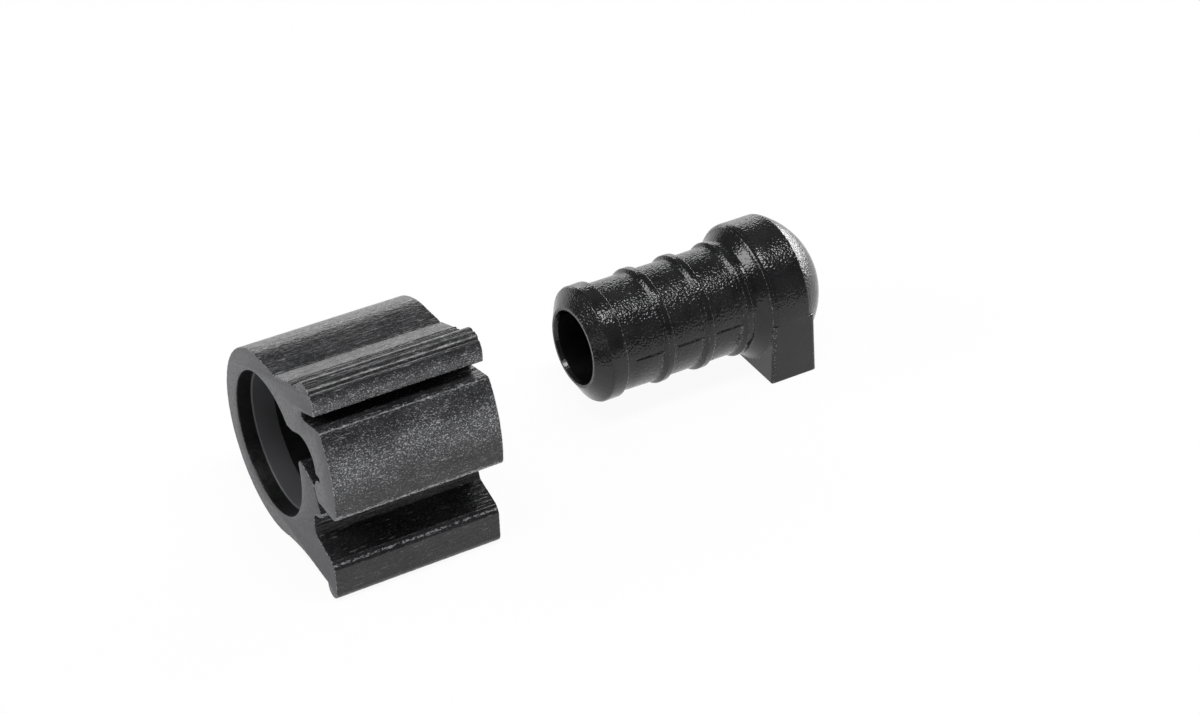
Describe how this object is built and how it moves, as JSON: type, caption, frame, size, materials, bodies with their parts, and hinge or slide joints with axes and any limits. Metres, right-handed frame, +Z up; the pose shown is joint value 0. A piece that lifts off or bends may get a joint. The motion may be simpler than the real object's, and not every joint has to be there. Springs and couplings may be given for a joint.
{
  "type": "pipe end plug with clip",
  "caption": "Ribbed end plug for soft small-bore water pipe, standing on its square foot, with its open snap clip whose ratchet jaw squeezes the pipe onto the ribs.",
  "frame": {"origin": "centre of the sole of the plug's foot, on the surface it stands on", "axes": "+X from the plug's mouth to its domed head, +Z up, the clip beside the mouth at -X"},
  "size_m": [0.0688, 0.0267, 0.0245],
  "materials": {
    "plug_plastic": "black moulded plastic, low sheen with a fine mould grain",
    "clip_plastic": "dark grey-black extruded plastic, fine lengthwise lines, dull sawn ends"
  },
  "bodies": {
    "root": {"ribbed_plug": "plug_plastic", "snap_clip": "clip_plastic"}
  },
  "joints": []
}
